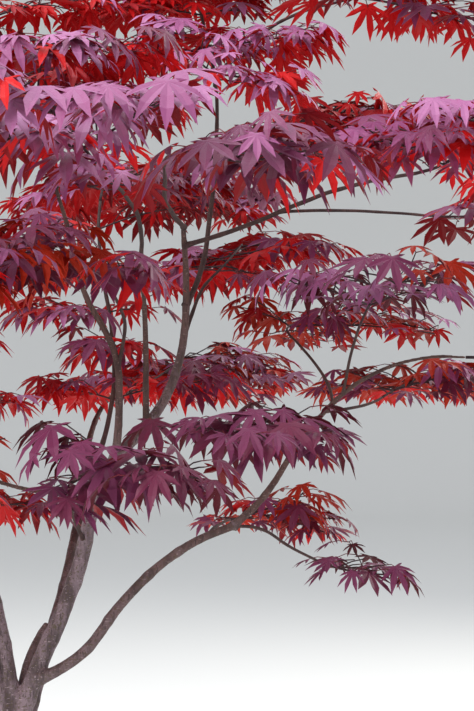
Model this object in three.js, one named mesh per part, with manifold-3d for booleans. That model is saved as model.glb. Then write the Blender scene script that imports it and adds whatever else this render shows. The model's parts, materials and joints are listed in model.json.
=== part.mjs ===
// A young Japanese maple with red-purple leaves, rooted in the ground: a short trunk that forks into
// several stems, and flat shelves of foliage with gaps between them.
// Millimetres, +Z up. The origin is on the ground, in the middle of the flat cut under the trunk,
// and the side that faces -Y is the front.
import * as THREE from 'three';
import Module from 'manifold-3d';

const wasm = await Module();
wasm.setup();

// Sizes that drive the wood
const gap = 0.3; // clearance that touching sub-parts keep
const pathSteps = 12; // straight stretches in the path of a limb
const trunkSides = 15; // three for each root ridge
const stemSides = 6;
const thinSides = 5; // sides of a limb whose foot is thinner than thinFoot
const thinFoot = 5;
const oldFoot = 3.9; // a limb with a thicker foot than this has old bark
const footSunk = 0.6; // how far a limb starts back inside its parent, as a share of its foot
const belowGround = 15; // how far the trunk runs down before it is cut off level
const flareRise = 45; // height over which the root flare dies away
const flareSpread = 20; // what the flare adds to the trunk's radius at the ground
const rootRidges = 5; // swellings round the foot, one over each main root
const ridgeShare = 0.22; // how far a ridge stands out, as a share of the flare

// Sizes that drive a leaf. Each stands for a few real leaves, so it is a little larger than life.
const leafLength = 94; // from the stalk to the tip of the middle lobe
const leafThickness = 3.2; // where the blade is thickest
const bladeMiddle = 0.12; // where that is, as a share of the leaf's length, as are the next four
const stalkLength = 0.3; // from the middle of the twig to the blade
const stalkHalf = 0.035; // half the stalk's width where it meets the blade
const notchReach = 0.4; // how far the cut between two lobes is from the stalk
const leafDroop = 0.2; // how far the tips hang
const leafDip = 24; // degrees that a leaf points down
const lobes = [
  { angle: -80, reach: 0.62 },
  { angle: -38, reach: 0.88 },
  { angle: 0, reach: 1 },
  { angle: 38, reach: 0.88 },
  { angle: 80, reach: 0.62 },
];
const leafPlay = { heading: 50, dip: 34, roll: 30, size: 0.24 }; // the whole range of each
const leafAttempts = 16; // tries at a leaf, each turned a little differently

// Sizes that drive a mass of foliage
const stemFoot = 2.1; // radius of its stem where it starts
const stemSteps = 4; // straight stretches in that stem
const stemBend = 0.4; // how long it keeps its bough's direction, as a share of its length
const stemReach = 0.32; // how far past the middle of its space it runs, as a share of the half size
const stemEndLeaf = 0.97; // where the stalk of the leaf at its tip starts
const twigRadius = 1.7; // at a twig's foot
const twigTip = 1.3;
const twigNodes = [0.32, 0.62, 0.92]; // where a stem bears its pairs of twigs
const leafNodes = [0.2, 0.47, 0.77]; // where it bears a single leaf, to one side and the other in turn
const leafTurn = 72; // degrees between the stem and such a leaf
const twigSpread = 58; // degrees between the stem and a pair of twigs at its foot
const spreadLoss = 22; // degrees less at its tip
const twigPlay = { heading: 14, rise: 34 };
const twigLift = 7; // degrees that twigs rise on average
const leafRoom = 1.25; // room kept for the leaf past a twig's tip, in leaf lengths
const lengthStep = 4; // a twig grows by this much at a time
const shortTwig = 12; // a twig shorter than this is left out, and its leaf sits on the stem
const sideLeaf = 0.55; // where a twig bears the leaf beside it
const leafRoot = 6; // how far a stalk is sunk into the tip of its twig
const bareStalk = 0.6; // share of the stalk that the tests for touching keep

// Limbs. Each leaves its parent at a share of the parent's length. Its heading (degrees round from +X
// towards +Y) and its rise (degrees above level) are given at even steps from foot to tip.
// foot and tip are its radii there.
const limbs = [
  {
    name: 'trunk', length: 352, foot: 27, tip: 20,
    heading: [200, 20], rise: [85, 87],
  },
  {
    name: 'leader', from: 'trunk', at: 1, length: 390, foot: 11.4, tip: 6.8,
    heading: [16, 7, 12, 19], rise: [75, 64, 81, 35],
  },
  {
    name: 'right_stem', from: 'leader', at: 1, length: 265, foot: 6.4, tip: 3.2,
    heading: [49, -14, -94, -90], rise: [46, 76, 85, 25],
  },
  {
    name: 'right_front_bough', from: 'right_stem', at: 1, length: 370, foot: 2.9, tip: 1.8,
    heading: [-102, -87, -88], rise: [7, 1, 0],
  },
  {
    name: 'middle_stem', from: 'leader', at: 1, length: 220, foot: 4.3, tip: 2.8,
    heading: [-80, -90, -94, -89], rise: [85, 76, 61, 31],
  },
  {
    name: 'middle_front_bough', from: 'middle_stem', at: 1, length: 310, foot: 2.6, tip: 1.8,
    heading: [-85, -94, -92], rise: [25, 2, -2],
  },
  {
    name: 'left_stem', from: 'leader', at: 0.86, length: 340, foot: 5.2, tip: 2.4,
    heading: [-61, -89, -180, -137, -120], rise: [63, 84, 57, 77, 59],
  },
  {
    name: 'left_inner_twig', from: 'left_stem', at: 0.33, length: 145, foot: 2.3, tip: 1.7,
    heading: [-48, -98, -108], rise: [74, 30, 21],
  },
  {
    name: 'right_bough', from: 'right_stem', at: 0.88, length: 385, foot: 2.9, tip: 1.8,
    heading: [-23, -42, -63, -60], rise: [12, 14, 0, -3],
  },
  {
    name: 'right_fork', from: 'right_bough', at: 0.35, length: 165, foot: 1.9, tip: 1.5,
    heading: [-1, 0], rise: [3, -6],
  },
  {
    name: 'top_stem', from: 'right_stem', at: 0.6, length: 285, foot: 3.4, tip: 2.1,
    heading: [41, 53, -55, -117], rise: [53, 81, 86, 69],
  },
  {
    name: 'top_fork', from: 'top_stem', at: 1, length: 300, foot: 2, tip: 1.6,
    heading: [-70, -65, -66], rise: [12, 5, -9],
  },
  {
    name: 'crown_stem', from: 'top_stem', at: 0.97, length: 230, foot: 2.1, tip: 1.7,
    heading: [128, 114], rise: [75, 60],
  },
  {
    name: 'top_back_bough', from: 'top_stem', at: 0.6, length: 135, foot: 2.1, tip: 1.7,
    heading: [19, 23, 32], rise: [10, 49, 19],
  },
  {
    name: 'left_crown_stem', from: 'left_stem', at: 0.98, length: 250, foot: 2.3, tip: 1.7,
    heading: [165, 150], rise: [66, 62],
  },
  {
    name: 'low_bough', from: 'leader', at: 0.17, length: 305, foot: 6.8, tip: 4.8,
    heading: [-32, 19, 17, 18], rise: [14, 55, 38, 15],
  },
  {
    name: 'low_outer_bough', from: 'low_bough', at: 1, length: 370, foot: 4.6, tip: 1.9,
    heading: [1, 40, 2, -24, -11], rise: [40, 53, 48, 19, -7],
  },
  {
    name: 'low_side_twig', from: 'low_outer_bough', at: 0.49, length: 105, foot: 2, tip: 1.6,
    heading: [22, 64], rise: [4, 16],
  },
  {
    name: 'low_rising_twig', from: 'low_outer_bough', at: 0.52, length: 150, foot: 2.1, tip: 1.6,
    heading: [83, 126, 117], rise: [34, 43, 25],
  },
  {
    name: 'low_upright_twig', from: 'low_outer_bough', at: 0.57, length: 95, foot: 2, tip: 1.6,
    heading: [-73, -74], rise: [68, 41],
  },
  {
    name: 'hanging_twig', from: 'low_bough', at: 0.98, length: 120, foot: 2, tip: 1.6,
    heading: [7, 28, 11], rise: [10, -34, -24],
  },
  {
    name: 'low_back_twig', from: 'low_bough', at: 0.88, length: 145, foot: 2.1, tip: 1.6,
    heading: [79, 79], rise: [11, -1],
  },
  {
    name: 'left_twig', from: 'leader', at: 0.71, length: 125, foot: 4, tip: 2.4,
    heading: [-125, -158, -165], rise: [28, 5, 19],
  },
  {
    name: 'front_twig', from: 'leader', at: 0.93, length: 130, foot: 2.3, tip: 1.7,
    heading: [-67, -81], rise: [19, -1],
  },
  {
    name: 'front_left_twig', from: 'leader', at: 0.6, length: 215, foot: 2.4, tip: 1.7,
    heading: [-107, -66], rise: [40, 5],
  },
  {
    name: 'pruned_stub', from: 'trunk', at: 0.97, length: 145, foot: 7, tip: 5.6,
    heading: [78, 54, 27], rise: [78, 72, 51],
  },
  {
    name: 'west_stem', from: 'trunk', at: 0.97, length: 690, foot: 10.5, tip: 2.4,
    heading: [150, 165, 140, 170], rise: [86, 70, 56, 60],
  },
  {
    name: 'west_bough', from: 'west_stem', at: 0.45, length: 260, foot: 3.6, tip: 2,
    heading: [178, 190], rise: [40, 18],
  },
  {
    name: 'low_west_stem', from: 'trunk', at: 0.96, length: 420, foot: 9.2, tip: 2.4,
    heading: [190, 205, 200], rise: [80, 48, 30],
  },
  {
    name: 'front_west_bough', from: 'low_west_stem', at: 0.55, length: 300, foot: 3.6, tip: 2,
    heading: [-100, -118], rise: [58, 20],
  },
  {
    name: 'back_stem', from: 'trunk', at: 0.82, length: 645, foot: 9, tip: 2.4,
    heading: [73, 69, 85, 68], rise: [60, 57, 59, 1],
  },
  {
    name: 'back_crown_bough', from: 'back_stem', at: 0.5, length: 485, foot: 3.8, tip: 2.1,
    heading: [46, 59, 134, 83], rise: [67, 67, 75, 59],
  },
  {
    name: 'centre_back_bough', from: 'right_stem', at: 0.42, length: 105, foot: 2.6, tip: 1.8,
    heading: [25, 56, 64], rise: [73, 62, 25],
  },
];

// Masses of foliage. Each keeps to the space of one flat, round-edged cushion: its middle, and its half
// sizes from side to side, front to back and up and down. A stem leads into it from its bough's tip.
const masses = [
  {
    name: 'near_left_foliage', bough: 'middle_front_bough', tone: 'purple',
    middle: [100, -520, 965], half: [185, 175, 90],
  },
  {
    name: 'near_centre_foliage', bough: 'right_front_bough', tone: 'purple',
    middle: [235, -510, 920], half: [155, 125, 55],
  },
  {
    name: 'top_left_foliage', bough: 'left_stem', tone: 'purple',
    middle: [50, -205, 1080], half: [195, 175, 90],
  },
  {
    name: 'mid_left_foliage', bough: 'left_inner_twig', tone: 'purple',
    middle: [25, -235, 850], half: [175, 165, 80],
  },
  {
    name: 'top_centre_foliage', bough: 'top_stem', tone: 'red',
    middle: [222, -80, 1075], half: [168, 150, 95],
  },
  {
    name: 'top_right_foliage', bough: 'top_fork', tone: 'red',
    middle: [430, -310, 1150], half: [175, 150, 85],
  },
  {
    name: 'upper_right_foliage', bough: 'right_bough', tone: 'purple',
    middle: [465, -365, 985], half: [175, 145, 75],
  },
  {
    name: 'right_under_foliage', bough: 'right_fork', tone: 'red',
    middle: [575, -55, 960], half: [175, 160, 75],
  },
  {
    name: 'right_mid_foliage', bough: 'low_upright_twig', tone: 'purple',
    middle: [415, -75, 860], half: [165, 140, 54],
  },
  {
    name: 'right_back_foliage', bough: 'low_rising_twig', tone: 'red',
    middle: [385, 290, 850], half: [175, 150, 65],
  },
  {
    name: 'right_low_foliage', bough: 'low_side_twig', tone: 'red',
    middle: [470, 235, 775], half: [165, 140, 70],
  },
  {
    name: 'right_tip_foliage', bough: 'low_outer_bough', tone: 'purple',
    middle: [690, -60, 800], half: [175, 140, 75],
  },
  {
    name: 'centre_back_foliage', bough: 'centre_back_bough', tone: 'red',
    middle: [240, 200, 945], half: [185, 165, 85],
  },
  {
    name: 'back_low_foliage', bough: 'back_stem', tone: 'red',
    middle: [150, 520, 820], half: [240, 190, 85],
  },
  {
    name: 'back_crown_foliage', bough: 'back_crown_bough', tone: 'red',
    middle: [90, 400, 1075], half: [240, 215, 95],
  },
  {
    name: 'low_front_foliage', bough: 'front_twig', tone: 'purple',
    middle: [246, -184, 696], half: [138, 142, 76],
  },
  {
    name: 'low_front_left_foliage', bough: 'front_left_twig', tone: 'purple',
    middle: [146, -276, 664], half: [138, 138, 70],
  },
  {
    name: 'low_left_foliage', bough: 'left_twig', tone: 'red',
    middle: [-82, -20, 672], half: [180, 160, 78],
  },
  {
    name: 'low_right_foliage', bough: 'low_back_twig', tone: 'red',
    middle: [292, 240, 596], half: [150, 135, 70],
  },
  {
    name: 'hanging_foliage', bough: 'hanging_twig', tone: 'purple',
    middle: [390, 100, 527], half: [135, 118, 65],
  },
  {
    name: 'crown_top_foliage', bough: 'crown_stem', tone: 'red',
    middle: [190, 130, 1380], half: [250, 225, 125],
  },
  {
    name: 'crown_back_foliage', bough: 'top_back_bough', tone: 'red',
    middle: [375, 205, 1122], half: [205, 190, 88],
  },
  {
    name: 'crown_left_foliage', bough: 'left_crown_stem', tone: 'red',
    middle: [-140, -10, 1280], half: [235, 215, 108],
  },
  {
    name: 'west_top_foliage', bough: 'west_stem', tone: 'red',
    middle: [-400, 170, 1040], half: [235, 215, 105],
  },
  {
    name: 'west_mid_foliage', bough: 'west_bough', tone: 'red',
    middle: [-510, 30, 810], half: [220, 200, 90],
  },
  {
    name: 'west_low_foliage', bough: 'low_west_stem', tone: 'purple',
    middle: [-430, -170, 655], half: [210, 190, 85],
  },
  {
    name: 'front_west_foliage', bough: 'front_west_bough', tone: 'purple',
    middle: [-285, -370, 765], half: [215, 190, 90],
  },
];

const barkOld = new THREE.MeshStandardMaterial({ color: 0x75676b, roughness: 0.85, metalness: 0 });
const barkYoung = new THREE.MeshStandardMaterial({ color: 0x54382f, roughness: 0.8, metalness: 0 });
const leafTones = {
  purple: new THREE.MeshStandardMaterial({ color: 0x6e2a4e, roughness: 0.6, metalness: 0 }),
  red: new THREE.MeshStandardMaterial({ color: 0xa81e1c, roughness: 0.6, metalness: 0 }),
};

const radians = THREE.MathUtils.degToRad;

// The same run of numbers from 0 to 1 for the same seed
function seeded(seed) {
  let state = seed >>> 0;
  return () => {
    state = (state + 0x6d2b79f5) >>> 0;
    let mixed = Math.imul(state ^ (state >>> 15), state | 1);
    mixed ^= mixed + Math.imul(mixed ^ (mixed >>> 7), mixed | 61);
    return ((mixed ^ (mixed >>> 14)) >>> 0) / 4294967296;
  };
}

// The value at a share of the way through evenly spaced values
function blend(values, share) {
  const place = share * (values.length - 1);
  const low = Math.min(Math.floor(place), values.length - 2);
  return values[low] + (values[low + 1] - values[low]) * (place - low);
}

function direction(heading, rise) {
  const across = Math.cos(radians(rise));
  return new THREE.Vector3(
    across * Math.cos(radians(heading)),
    across * Math.sin(radians(heading)),
    Math.sin(radians(rise)),
  );
}

// A place at a share of the way along a path of even steps
function along(path, share) {
  const place = share * (path.length - 1);
  const low = Math.min(Math.floor(place), path.length - 2);
  return path[low].clone().lerp(path[low + 1], place - low);
}

function toSolid(points, faces) {
  const vertProperties = new Float32Array(points.flatMap((point) => [point.x, point.y, point.z]));
  const triVerts = new Uint32Array(faces.flat());
  return new wasm.Manifold(new wasm.Mesh({ numProp: 3, vertProperties, triVerts }));
}

// A closed tube along a path, with a flat end square to the path at each end.
// radiusAt gives the radius for a share of the path and an angle round it.
function tube(path, sides, radiusAt) {
  const points = [];
  const faces = [];
  const last = path.length - 1;
  const turn = (2 * Math.PI) / sides;
  let side = new THREE.Vector3(1, 0, 0);
  path.forEach((centre, ring) => {
    const ahead = path[Math.min(ring + 1, last)].clone().sub(path[Math.max(ring - 1, 0)]).normalize();
    if (ring === 0 && Math.abs(ahead.x) > 0.9) side.set(0, 1, 0);
    side = side.clone().addScaledVector(ahead, -side.dot(ahead)).normalize();
    const other = ahead.clone().cross(side);
    for (let step = 0; step < sides; step++) {
      const radius = radiusAt(ring / last, step * turn);
      const point = centre.clone().addScaledVector(side, radius * Math.cos(step * turn));
      points.push(point.addScaledVector(other, radius * Math.sin(step * turn)));
    }
  });
  for (let ring = 0; ring < last; ring++) {
    for (let step = 0; step < sides; step++) {
      const here = ring * sides + step;
      const next = ring * sides + ((step + 1) % sides);
      faces.push([here, next, next + sides], [here, next + sides, here + sides]);
    }
  }
  for (let step = 1; step < sides - 1; step++) {
    faces.push([0, step + 1, step]);
    faces.push([last * sides, last * sides + step, last * sides + step + 1]);
  }
  return toSolid(points, faces);
}

// The same path, with each end moved out by a length (or in, where it is less than 0)
function lengthened(path, atFoot, atTip) {
  const ends = path.map((point) => point.clone());
  const last = ends.length - 1;
  const footWay = path[0].clone().sub(path[1]).normalize();
  const tipWay = path[last].clone().sub(path[last - 1]).normalize();
  ends[0].addScaledVector(footWay, atFoot);
  ends[last].addScaledVector(tipWay, atTip);
  return ends;
}

function boxesMeet(one, two) {
  const a = one.boundingBox();
  const b = two.boundingBox();
  return [0, 1, 2].every((axis) => a.min[axis] <= b.max[axis] && b.min[axis] <= a.max[axis]);
}

function meets(solid, others) {
  return others.some((other) => boxesMeet(solid, other) && !solid.intersect(other).isEmpty());
}

// What is left of a solid when it is cut clear of others, without loose scraps
function cutClear(solid, others) {
  let left = solid;
  for (const other of others) {
    if (boxesMeet(left, other)) left = left.subtract(other);
  }
  return left.decompose().reduce((big, piece) => (piece.volume() > big.volume() ? piece : big));
}

// The path of a limb, grown step by step from its foot
function growPath(limb, start) {
  const path = [start.clone()];
  for (let step = 0; step < pathSteps; step++) {
    const share = (step + 0.5) / pathSteps;
    const way = direction(blend(limb.heading, share), blend(limb.rise, share));
    path.push(path[step].clone().addScaledVector(way, limb.length / pathSteps));
  }
  return path;
}

function everyNth(path, step) {
  return path.filter((_, index) => index % step === 0);
}

// A closed box with its top level with the ground
function groundBox(half) {
  const corners = [];
  for (const z of [-half, 0]) {
    corners.push(new THREE.Vector3(-half, -half, z), new THREE.Vector3(half, -half, z));
    corners.push(new THREE.Vector3(half, half, z), new THREE.Vector3(-half, half, z));
  }
  const faces = [[0, 2, 1], [0, 3, 2], [4, 5, 6], [4, 6, 7]];
  for (let step = 0; step < 4; step++) {
    const next = (step + 1) % 4;
    faces.push([step, next, next + 4], [step, next + 4, step + 4]);
  }
  return toSolid(corners, faces);
}

// The trunk, with its root flare and the ridge over each root, cut off level at the ground.
// clearance is the larger solid that its neighbours are cut clear of.
function buildTrunk(trunk) {
  const path = growPath(trunk, new THREE.Vector3());
  const rings = lengthened(everyNth(path, 2), belowGround, 0);
  const radiusAt = (share, angle) => {
    const flare = flareSpread * Math.exp((-share * trunk.length) / flareRise);
    const ridge = 1 + ridgeShare * Math.cos(rootRidges * angle);
    return trunk.foot + (trunk.tip - trunk.foot) * share + flare * ridge;
  };
  const margin = gap / Math.cos(Math.PI / trunkSides);
  const solid = tube(rings, trunkSides, radiusAt).subtract(groundBox(4 * trunk.foot));
  const clearance = tube(lengthened(rings, 0, gap), trunkSides, (...at) => radiusAt(...at) + margin);
  return { ...trunk, path, solid, clearance };
}

// A limb that starts inside its parent and is cut clear of every limb before it
function buildLimb(limb, parent, earlier) {
  const path = growPath(limb, along(parent.path, limb.at));
  const thin = limb.foot < thinFoot;
  const sides = thin ? thinSides : stemSides;
  const rings = everyNth(path, thin ? 3 : 2);
  const sunk = limb.foot * footSunk;
  const margin = gap / Math.cos(Math.PI / sides);
  const radiusAt = (share) => limb.foot + (limb.tip - limb.foot) * share;
  const rough = tube(lengthened(rings, sunk, 0), sides, radiusAt);
  const clearance = tube(lengthened(rings, sunk + gap, gap), sides, (share) => radiusAt(share) + margin);
  return { ...limb, path, solid: cutClear(rough, earlier), clearance };
}

// How far a place is from the middle of a mass's space, where 1 is the space's edge
function depth(mass, place) {
  const [x, y, z] = place.toArray().map((value, axis) => (value - mass.middle[axis]) / mass.half[axis]);
  return Math.hypot(x * x + y * y, z * z) ** 0.5;
}

// A place belongs to the mass whose middle is nearest, measured in that mass's own half sizes
function inSpace(mass, place) {
  const own = depth(mass, place);
  return own < 1 && masses.every((other) => other === mass || depth(other, place) > own);
}

// The corners of a leaf: the top and the underside of its middle, then its outline from the stalk's
// foot round. stalk is the length of stalk that is kept, as a share of the leaf's length.
function leafPoints(foot, { heading, dip, roll, size }, thickness, stalk) {
  const forward = direction(heading, -dip);
  const side = direction(heading + 90, 0).applyAxisAngle(forward, radians(roll));
  const up = forward.clone().cross(side);
  const place = (angle, reach, lift = 0) =>
    foot.clone()
      .addScaledVector(forward, size * (stalkLength + reach * Math.cos(radians(angle))))
      .addScaledVector(side, size * reach * Math.sin(radians(angle)))
      .addScaledVector(up, lift - size * leafDroop * reach * reach);
  const points = [place(0, bladeMiddle, thickness / 2), place(0, bladeMiddle, -thickness / 2)];
  points.push(foot.clone().addScaledVector(forward, size * (stalkLength - stalk)), place(-90, stalkHalf));
  lobes.forEach((lobe, index) => {
    points.push(place(lobe.angle, lobe.reach));
    const next = lobes[index + 1];
    if (next) points.push(place((lobe.angle + next.angle) / 2, notchReach));
  });
  points.push(place(90, stalkHalf));
  return points;
}

// A thin closed blade with five pointed lobes
function leafSolid(points) {
  const faces = [];
  const rim = points.length - 2;
  for (let step = 0; step < rim; step++) {
    const here = 2 + step;
    const next = 2 + ((step + 1) % rim);
    faces.push([0, here, next], [1, next, here]);
  }
  return toSolid(points, faces);
}

// The path of a mass's stem: on from its bough's tip, and past the middle of its space
function massStem(mass, bough) {
  const tip = bough.path[pathSteps];
  const way = tip.clone().sub(bough.path[pathSteps - 1]).normalize();
  const foot = tip.clone().addScaledVector(way, gap);
  const middle = new THREE.Vector3(...mass.middle);
  const outward = middle.clone().sub(foot).setZ(0).normalize();
  const reach = new THREE.Vector3(mass.half[0], mass.half[1], 0).multiply(outward).length() * stemReach;
  const end = middle.clone().addScaledVector(outward, reach);
  const bend = foot.clone().addScaledVector(way, foot.distanceTo(end) * stemBend);
  return new THREE.QuadraticBezierCurve3(foot, bend, end).getPoints(stemSteps);
}

// The way that a path runs over the ground, in degrees
function headingAt(path, share) {
  const way = along(path, Math.min(1, share + 0.1)).sub(along(path, share - 0.1));
  return THREE.MathUtils.radToDeg(Math.atan2(way.y, way.x));
}

function play(random, range) {
  return (random() - 0.5) * range;
}

// One try at a leaf. It fails where it would leave its space, or touch a neighbour or another leaf.
function tryLeaf(growth, foot, heading) {
  const { mass, random } = growth;
  const set = {
    heading: heading + play(random, leafPlay.heading),
    dip: leafDip + play(random, leafPlay.dip),
    roll: play(random, leafPlay.roll),
    size: leafLength * (1 + play(random, leafPlay.size)),
  };
  const points = leafPoints(foot, set, leafThickness, stalkLength);
  if (!points.slice(4, -1).every((point) => inSpace(mass, point))) return false;
  const blade = leafSolid(leafPoints(foot, set, leafThickness + 2 * gap, stalkLength * bareStalk));
  if ([growth.blades, growth.wood, growth.taken].some((others) => meets(blade, others))) return false;
  growth.blades.push(blade);
  growth.leaves.push(leafSolid(points));
  return true;
}

function addLeaf(growth, foot, heading) {
  for (let attempt = 0; attempt < leafAttempts; attempt++) {
    if (tryLeaf(growth, foot, heading)) return;
  }
}

// A twig as long as its space allows, with a leaf at its tip and one beside it
function addTwig(growth, foot, twig) {
  const way = direction(twig.heading, twig.rise);
  const at = (length) => foot.clone().addScaledVector(way, length);
  let length = 0;
  while (inSpace(growth.mass, at(length + leafLength * leafRoom))) length += lengthStep;
  if (length < shortTwig) {
    addLeaf(growth, foot, twig.heading);
    return;
  }
  const guard = tube([at(stemFoot), at(length + gap)], 3, () => twigRadius + 2 * gap);
  if (meets(guard, growth.taken)) return;
  const before = growth.leaves.length;
  growth.wood.push(tube([foot, at(length)], 3, (share) => twigRadius + (twigTip - twigRadius) * share));
  addLeaf(growth, at(length - leafRoot), twig.heading);
  addLeaf(growth, at(length * sideLeaf), twig.heading + twig.leafHand * leafTurn);
  if (growth.leaves.length === before) growth.wood.pop();
}

// The twigs of a mass, in pairs along its stem, each with the side that its own second leaf is on
function planTwigs(stem, random) {
  const twigs = [];
  for (const share of twigNodes) {
    for (const hand of [1, -1]) {
      const spread = twigSpread - spreadLoss * share + play(random, twigPlay.heading);
      const rise = twigLift + play(random, twigPlay.rise);
      const leafHand = random() < 0.5 ? 1 : -1;
      twigs.push({ share, heading: headingAt(stem, share) + hand * spread, rise, leafHand });
    }
  }
  return twigs;
}

// Twigs and leaves of one mass, fused. taken holds every solid that is already built.
function buildMass(mass, bough, taken, seed) {
  const stem = massStem(mass, bough);
  const stemSolid = tube(stem, 3, (share) => stemFoot + (twigTip - stemFoot) * share);
  const wood = [cutClear(stemSolid, taken)];
  const growth = { mass, taken, wood, leaves: [], blades: [], random: seeded(seed + masses.length) };
  for (const twig of planTwigs(stem, seeded(seed))) addTwig(growth, along(stem, twig.share), twig);
  leafNodes.forEach((share, index) => {
    const hand = index % 2 ? 1 : -1;
    addLeaf(growth, along(stem, share), headingAt(stem, share) + hand * leafTurn);
  });
  addLeaf(growth, along(stem, stemEndLeaf), headingAt(stem, 1));
  const fused = [...growth.wood, ...growth.leaves].reduce((whole, piece) => whole.add(piece));
  return cutClear(fused, []);
}

// A mesh that stands at its own foot, with its corners measured from there
function toMesh(name, solid, foot, material) {
  const { vertProperties, triVerts } = solid.getMesh();
  const geometry = new THREE.BufferGeometry();
  geometry.setAttribute('position', new THREE.BufferAttribute(new Float32Array(vertProperties), 3));
  geometry.setIndex(new THREE.BufferAttribute(new Uint32Array(triVerts), 1));
  geometry.translate(-foot.x, -foot.y, -foot.z);
  const mesh = new THREE.Mesh(geometry, material);
  mesh.name = name;
  mesh.position.copy(foot);
  return mesh;
}

const tree = new THREE.Group();
const wood = new THREE.Group();
const crown = new THREE.Group();
tree.add(wood, crown);

const built = new Map();
for (const limb of limbs) {
  const earlier = [...built.values()].map((other) => other.clearance);
  const done = limb.from ? buildLimb(limb, built.get(limb.from), earlier) : buildTrunk(limb);
  built.set(limb.name, done);
  wood.add(toMesh(limb.name, done.solid, done.path[0], limb.foot > oldFoot ? barkOld : barkYoung));
}

const taken = [...built.values()].map((limb) => limb.clearance);
masses.forEach((mass, index) => {
  const bough = built.get(mass.bough);
  const solid = buildMass(mass, bough, taken, index + 1);
  taken.push(solid);
  crown.add(toMesh(mass.name, solid, bough.path[pathSteps], leafTones[mass.tone]));
});

export default tree;
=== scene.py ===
import json
import math
import random
import bmesh
import bpy
import numpy as np
from mathutils import Matrix, Vector, kdtree, noise
from types import SimpleNamespace

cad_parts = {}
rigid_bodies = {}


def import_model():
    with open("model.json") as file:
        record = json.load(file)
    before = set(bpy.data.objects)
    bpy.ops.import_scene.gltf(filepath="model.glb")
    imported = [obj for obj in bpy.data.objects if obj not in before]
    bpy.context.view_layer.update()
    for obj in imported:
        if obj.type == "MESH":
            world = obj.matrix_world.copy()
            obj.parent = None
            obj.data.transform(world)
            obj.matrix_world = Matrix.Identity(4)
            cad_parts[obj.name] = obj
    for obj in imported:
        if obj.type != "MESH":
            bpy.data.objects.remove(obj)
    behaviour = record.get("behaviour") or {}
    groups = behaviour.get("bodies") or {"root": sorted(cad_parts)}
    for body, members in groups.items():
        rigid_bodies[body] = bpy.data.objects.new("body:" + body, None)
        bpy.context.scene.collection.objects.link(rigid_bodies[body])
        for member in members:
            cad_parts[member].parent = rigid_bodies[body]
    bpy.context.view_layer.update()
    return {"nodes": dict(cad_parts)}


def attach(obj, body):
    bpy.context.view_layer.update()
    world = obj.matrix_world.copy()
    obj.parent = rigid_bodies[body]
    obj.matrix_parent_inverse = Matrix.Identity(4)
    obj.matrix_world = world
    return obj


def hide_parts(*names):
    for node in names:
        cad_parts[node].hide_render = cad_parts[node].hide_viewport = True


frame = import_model()
print("frame loaded:", len(frame["nodes"]), "solids")

noise.seed_set(1)  # the limbs wander by this noise, which would else change with the clock
mm = 0.001
pathSteps = 12  # straight stretches in the path of a limb, as in the solids

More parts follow.
